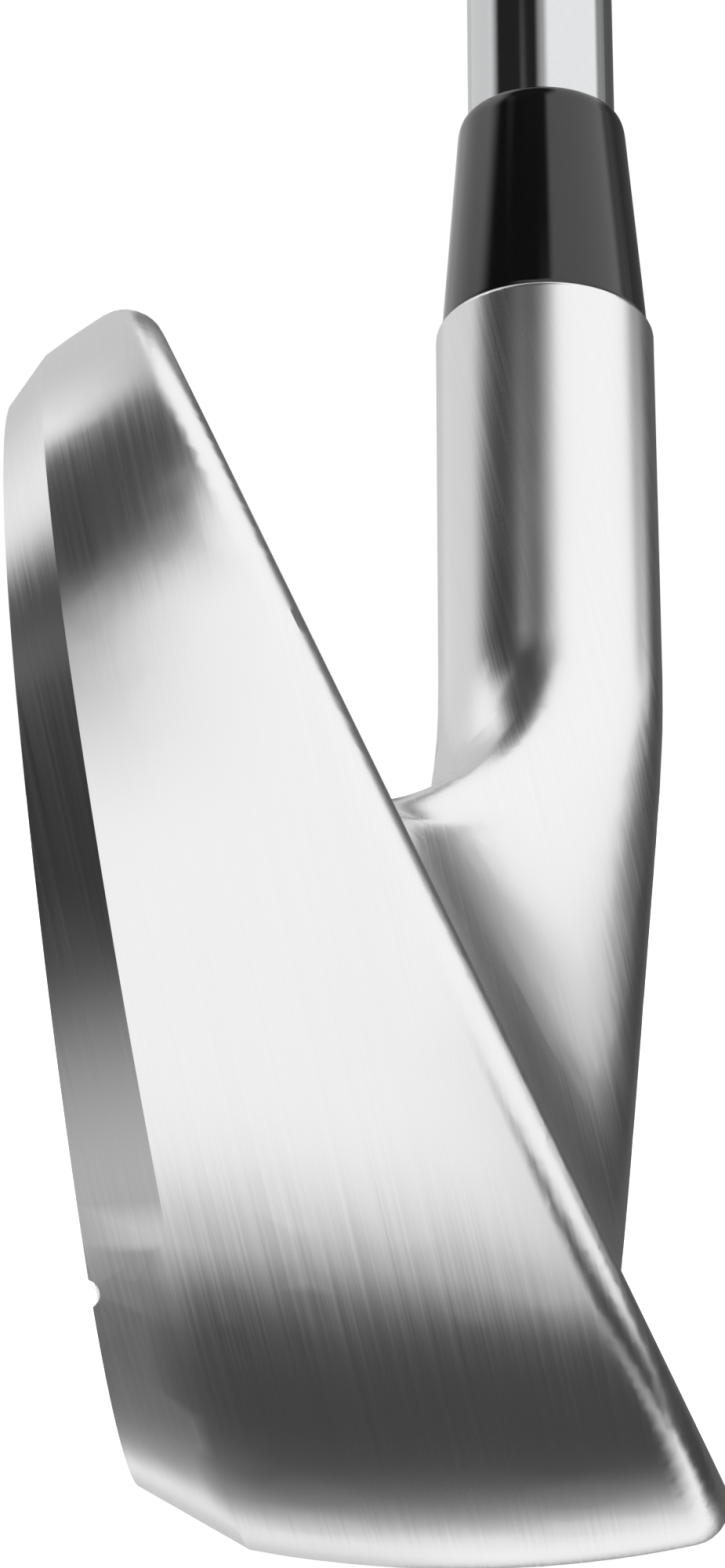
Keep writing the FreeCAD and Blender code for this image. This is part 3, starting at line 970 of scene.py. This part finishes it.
@dataclass
class Shaft:
    """The stepped chromed tube."""

    axis: ShaftAxis
    step_round: float = 0.25 * MM
    round_steps: int = 2
    turn_steps: int = 80

    def build(self) -> None:
        """Turn the tube with a softened edge at each step."""
        levels = self.axis.levels("shaft")
        heights = sorted(levels)
        wall = max(levels[heights[0]]) - min(levels[heights[0]])
        corners = [(max(levels[heights[0]]), heights[0])]
        for height in heights[1:-1]:
            corners += [(corners[-1][0], height), (max(levels[height]), height)]
        corners.append((max(levels[heights[-1]]), heights[-1]))
        inner = [(corners[-1][0] - wall, heights[-1]), (corners[0][0] - wall, heights[0])]
        radii = [self.step_round] * len(corners)
        profile = rounded(corners, radii, self.round_steps) + inner
        piece = TurnedPiece("shaft_tube", self.axis, self.turn_steps).build(profile)
        settle(piece, TUBE_CHROME, "shaft")


@dataclass
class Grip:
    """The rubber sleeve and the cap at its end."""

    axis: ShaftAxis
    groove_depth: float = 0.35 * MM
    groove_width: float = 1.2 * MM
    groove_pitch: float = 4.0 * MM
    groove_count: int = 4
    groove_round: float = 0.2 * MM
    lip_rounds: tuple[float, ...] = (0.0, 0.7 * MM, 0.9 * MM, 0.3 * MM)
    shoulder_round: float = 6.0 * MM
    end_round: float = 0.4 * MM
    cap_round: float = 1.4 * MM
    dish_depth: float = 0.3 * MM
    dish_rim: float = 4.0 * MM
    vent_rim: float = 2.0 * MM
    dish_bevel: float = 0.6 * MM

    def build(self) -> None:
        """Turn the sleeve with ring grooves at both ends, and the cap with its vent."""
        self.build_sleeve()
        self.build_cap()

    def build_sleeve(self) -> None:
        """Turn the sleeve."""
        levels = self.axis.levels("grip")
        heights = sorted(levels)
        start, lip_top, shoulder_height, stop = heights[0], heights[1], heights[2], heights[-1]
        bore = min(levels[start])
        lip = max(levels[start])
        mouth = min(levels[lip_top])
        shoulder = max(levels[shoulder_height])
        end = max(levels[stop])
        corners = [(bore, start), (lip, start), (lip, lip_top), (mouth, lip_top)]
        radii = list(self.lip_rounds)
        slope = (shoulder - mouth) / (shoulder_height - lip_top)
        for number in range(self.groove_count):
            height = lip_top + (number + 1) * self.groove_pitch
            corners += self.groove(height, mouth + slope * (height - lip_top))
            radii += [self.groove_round] * 4
        corners.append((shoulder, shoulder_height))
        radii.append(self.shoulder_round)
        slope = (end - shoulder) / (stop - shoulder_height)
        for number in range(self.groove_count):
            height = stop - (self.groove_count - number) * self.groove_pitch
            corners += self.groove(height, shoulder + slope * (height - shoulder_height))
            radii += [self.groove_round] * 4
        corners += [(end, stop), (bore, stop)]
        radii += [self.end_round, 0]
        piece = TurnedPiece("grip_sleeve", self.axis).build(rounded(corners, radii, steps=3))
        settle(piece, SLEEVE_RUBBER, "grip")

    def groove(self, start: float, radius: float) -> list[tuple[float, float]]:
        """Return the four corners of a ring groove.

        Args:
            start: Height at which the groove starts.
            radius: The sleeve's radius there.

        Returns:
            Pairs of radius and height.
        """
        floor = radius - self.groove_depth
        stop = start + self.groove_width
        inset = self.groove_width / 4
        return [(radius, start), (floor, start + inset), (floor, stop - inset), (radius, stop)]

    def build_cap(self) -> None:
        """Turn the cap: a dished disc with a ring around its vent hole."""
        rings = self.axis.rings("grip_cap")
        low, high = rings[0][0], rings[-1][0]
        vent = min(radius for _, radius in rings)
        outer = max(radius for _, radius in rings)
        floor = high - self.dish_depth
        corners = [
            (vent, low),
            (outer, low),
            (outer, high),
            (outer - self.dish_rim, high),
            (outer - self.dish_rim - self.dish_bevel, floor),
            (vent + self.vent_rim + self.dish_bevel, floor),
            (vent + self.vent_rim, high),
            (vent, high),
        ]
        radii = [0, self.end_round, self.cap_round] + [self.groove_round] * 4 + [0]
        piece = TurnedPiece("grip_end_cap", self.axis).build(rounded(corners, radii))
        settle(piece, CAP_RUBBER, "grip_cap")


@dataclass
class HiddenPieces:
    """The pieces inside the club, which keep their CAD meshes and get their own finishes."""

    finishes: dict[str, Plain] = field(
        default_factory=lambda: {
            "sole_weight": WEIGHT_METAL,
            "vibration_damper": DAMPER_RUBBER,
            "badge_tape": FOAM_TAPE,
            "hosel_adhesive": EPOXY,
            "tip_weight": PLUG_BRASS,
            "grip_tape": GRIP_TAPE_PAPER,
        }
    )

    def build(self) -> None:
        """Put each finish on its node's material slots."""
        for node, finish in self.finishes.items():
            materials = frame["nodes"][node].data.materials
            material = finish.build()
            for index in range(len(materials)):
                materials[index] = material
            if not materials:
                materials.append(material)
            LOG.info("%s is finished as %s", node, finish.name)


# ---- studio --------------------------------------------------------------------------------


@dataclass(frozen=True)
class Flag:
    """A dark or dim panel in the studio, placed by direction as seen from the club.

    Azimuth is measured around the upright axis from the toe side towards the face side.
    Angles are in degrees, and level is the brightness that is left inside the panel.
    """

    azimuth: float
    half_width: float
    elevation: float
    half_height: float
    softness: float
    level: float


@dataclass(frozen=True)
class Pool:
    """A round dark area below or above the club, placed by direction as seen from the club."""

    direction: tuple[float, float, float]
    radius: float
    softness: float
    level: float


@dataclass
class Studio:
    """Soft white surroundings with a few dark flags, a pale floor and the camera.

    The flags and pools run from the palest to the darkest, because each covers those before it.
    """

    lens: float = 135.54
    sensor: float = 36.0
    eye: tuple[float, float, float] = (-0.300, 0.00338, 0.03825)
    gaze: tuple[float, float, float] = (math.radians(90.0), 0.0, math.radians(-90.0))
    nearest_sight: float = 0.01
    brightness: float = 1.05
    backdrop: float = 1.0
    floor_size: float = 40.0
    floor_colour: str = "#f4f4f4"
    floor_roughness: float = 0.9
    floor_glow: float = 0.8
    flags: tuple[Flag, ...] = (
        Flag(-118.0, 26.0, 20.0, 14.0, 8.0, 0.74),
        Flag(-170.0, 26.0, 30.0, 60.0, 10.0, 0.62),
        Flag(-70.0, 36.0, -46.0, 26.0, 10.0, 0.42),
        Flag(-6.0, 9.0, 37.0, 11.0, 10.0, 0.52),
        Flag(-18.0, 14.0, 51.0, 13.0, 10.0, 0.38),
        Flag(120.0, 9.0, 21.0, 5.0, 4.0, 0.35),
        Flag(124.0, 10.0, 28.0, 8.0, 5.0, 0.30),
        Flag(155.0, 28.0, 6.0, 27.0, 6.0, 0.11),
        Flag(127.0, 22.0, -9.0, 19.0, 5.0, 0.05),
        Flag(-55.0, 67.0, 76.0, 18.0, 9.0, 0.04),
        Flag(68.0, 36.0, -22.0, 15.0, 8.0, 0.03),
        Flag(-42.0, 30.0, 64.0, 14.0, 7.0, 0.02),
        Flag(-71.0, 26.0, 42.0, 18.0, 9.0, 0.02),
        Flag(-50.0, 25.0, 6.0, 28.0, 13.0, 0.01),
    )
    pools: tuple[Pool, ...] = (
        Pool((0.40, 0.22, -0.89), 18.0, 9.0, 0.30),
        Pool((-0.14, -0.16, -0.97), 37.0, 17.0, 0.06),
        Pool((0.0, 0.14, 0.99), 18.0, 6.0, 0.05),
    )

    def build(self) -> None:
        """Build the surroundings, the floor and the camera."""
        self.build_world()
        self.build_floor()
        self.build_camera()

    def build_world(self) -> None:
        """Build the surroundings: plain white to the eye, dimmed by flags to the metal."""
        scene = bpy.context.scene
        scene.view_settings.view_transform = "Standard"
        world = bpy.data.worlds.new("studio")
        scene.world = world
        world.use_nodes = True
        tree = world.node_tree
        tree.nodes.clear()
        place = add_node(tree, "ShaderNodeTexCoord")
        split = add_node(tree, "ShaderNodeSeparateXYZ", Vector=place.outputs["Generated"])
        towards = []
        for axis in ("X", "Y"):
            turned = add_node(
                tree,
                "ShaderNodeMath",
                {"operation": "MULTIPLY"},
                in0=split.outputs[axis],
                in1=-1.0,
            )
            towards.append(turned.outputs["Value"])
        around = {"in0": towards[1], "in1": towards[0]}
        upwards = {"in0": split.outputs["Z"]}
        angles = []
        for operation, links in (("ARCTAN2", around), ("ARCSINE", upwards)):
            angle = add_node(tree, "ShaderNodeMath", {"operation": operation}, **links)
            degrees = add_node(
                tree, "ShaderNodeMath", {"operation": "DEGREES"}, in0=angle.outputs["Value"]
            )
            angles.append(degrees.outputs["Value"])
        azimuth, elevation = angles
        light: bpy.types.NodeSocket | float = self.brightness
        for flag in self.flags:
            light = self.add_flag(tree, flag, azimuth, elevation, light)
        for pool in self.pools:
            light = self.add_pool(tree, pool, place.outputs["Generated"], light)
        rays = add_node(tree, "ShaderNodeLightPath")
        seen = add_node(
            tree,
            "ShaderNodeMix",
            {"data_type": "FLOAT"},
            in0=rays.outputs["Is Camera Ray"],
            in2=light,
            in3=self.backdrop,
        )
        background = add_node(
            tree, "ShaderNodeBackground", Color=(1, 1, 1, 1), Strength=seen.outputs[0]
        )
        add_node(tree, "ShaderNodeOutputWorld", Surface=background.outputs["Background"])

    @staticmethod
    def add_flag(
        tree: bpy.types.NodeTree,
        flag: Flag,
        azimuth: bpy.types.NodeSocket,
        elevation: bpy.types.NodeSocket,
        light: bpy.types.NodeSocket | float,
    ) -> bpy.types.NodeSocket:
        """Dim the light inside one flag.

        Args:
            tree: The node tree.
            flag: The flag.
            azimuth: Socket with the azimuth in degrees.
            elevation: Socket with the elevation in degrees.
            light: The light so far.

        Returns:
            The socket with the light after this flag.
        """
        inside = []
        for angle, centre, half in (
            (azimuth, flag.azimuth, flag.half_width),
            (elevation, flag.elevation, flag.half_height),
        ):
            offset = add_node(
                tree, "ShaderNodeMath", {"operation": "SUBTRACT"}, in0=angle, in1=centre
            )
            distance = add_node(
                tree, "ShaderNodeMath", {"operation": "ABSOLUTE"}, in0=offset.outputs["Value"]
            )
            share = add_node(
                tree,
                "ShaderNodeMapRange",
                {"interpolation_type": "SMOOTHSTEP"},
                Value=distance.outputs["Value"],
                From_Min=half + flag.softness,
                From_Max=half - flag.softness,
            )
            inside.append(share.outputs["Result"])
        both = add_node(
            tree, "ShaderNodeMath", {"operation": "MULTIPLY"}, in0=inside[0], in1=inside[1]
        )
        dimmed = add_node(
            tree,
            "ShaderNodeMix",
            {"data_type": "FLOAT"},
            in0=both.outputs["Value"],
            in2=light,
            in3=flag.level,
        )
        return dimmed.outputs[0]

    @staticmethod
    def add_pool(
        tree: bpy.types.NodeTree,
        pool: Pool,
        direction: bpy.types.NodeSocket,
        light: bpy.types.NodeSocket | float,
    ) -> bpy.types.NodeSocket:
        """Dim the light inside one round area.

        Args:
            tree: The node tree.
            pool: The round area.
            direction: Socket with the direction that is looked at.
            light: The light so far.

        Returns:
            The socket with the light after this area.
        """
        centre = tuple(Vector(pool.direction).normalized())
        nearness = add_node(
            tree,
            "ShaderNodeVectorMath",
            {"operation": "DOT_PRODUCT"},
            in0=direction,
            in1=centre,
        )
        inside = add_node(
            tree,
            "ShaderNodeMapRange",
            {"interpolation_type": "SMOOTHSTEP"},
            Value=nearness.outputs["Value"],
            From_Min=math.cos(math.radians(pool.radius + pool.softness)),
            From_Max=math.cos(math.radians(pool.radius - pool.softness)),
        )
        dimmed = add_node(
            tree,
            "ShaderNodeMix",
            {"data_type": "FLOAT"},
            in0=inside.outputs["Result"],
            in2=light,
            in3=pool.level,
        )
        return dimmed.outputs[0]

    def build_floor(self) -> None:
        """Build the pale floor, which the metal doesn't mirror."""
        deselect()
        bpy.ops.mesh.primitive_plane_add(size=self.floor_size, location=(0, 0, 0))
        floor = bpy.context.object
        floor.name = "floor"
        paper, _, shader = start_material("pale_paper")
        shader.inputs["Base Color"].default_value = linear(self.floor_colour)
        shader.inputs["Roughness"].default_value = self.floor_roughness
        shader.inputs["Emission Color"].default_value = linear("#ffffff")
        shader.inputs["Emission Strength"].default_value = self.floor_glow
        floor.data.materials.append(paper)
        floor.visible_glossy = False

    def build_camera(self) -> None:
        """Build the level camera that looks at the toe end."""
        deselect()
        bpy.ops.object.camera_add(location=self.eye, rotation=self.gaze)
        camera = bpy.context.object
        camera.name = "toe_camera"
        camera.data.lens = self.lens
        camera.data.sensor_width = self.sensor
        camera.data.clip_start = self.nearest_sight
        bpy.context.scene.camera = camera


def main() -> None:
    """Build every sub-assembly in order, then the studio."""
    logging.basicConfig(level=logging.INFO, format="%(name)s: %(message)s")
    axis = ShaftAxis.from_record(frame["record"])
    for assembly in (Head(), Ferrule(axis), Shaft(axis), Grip(axis), HiddenPieces(), Studio()):
        assembly.build()
    deselect()
    bpy.context.view_layer.update()


if __name__ == "__main__":
    main()
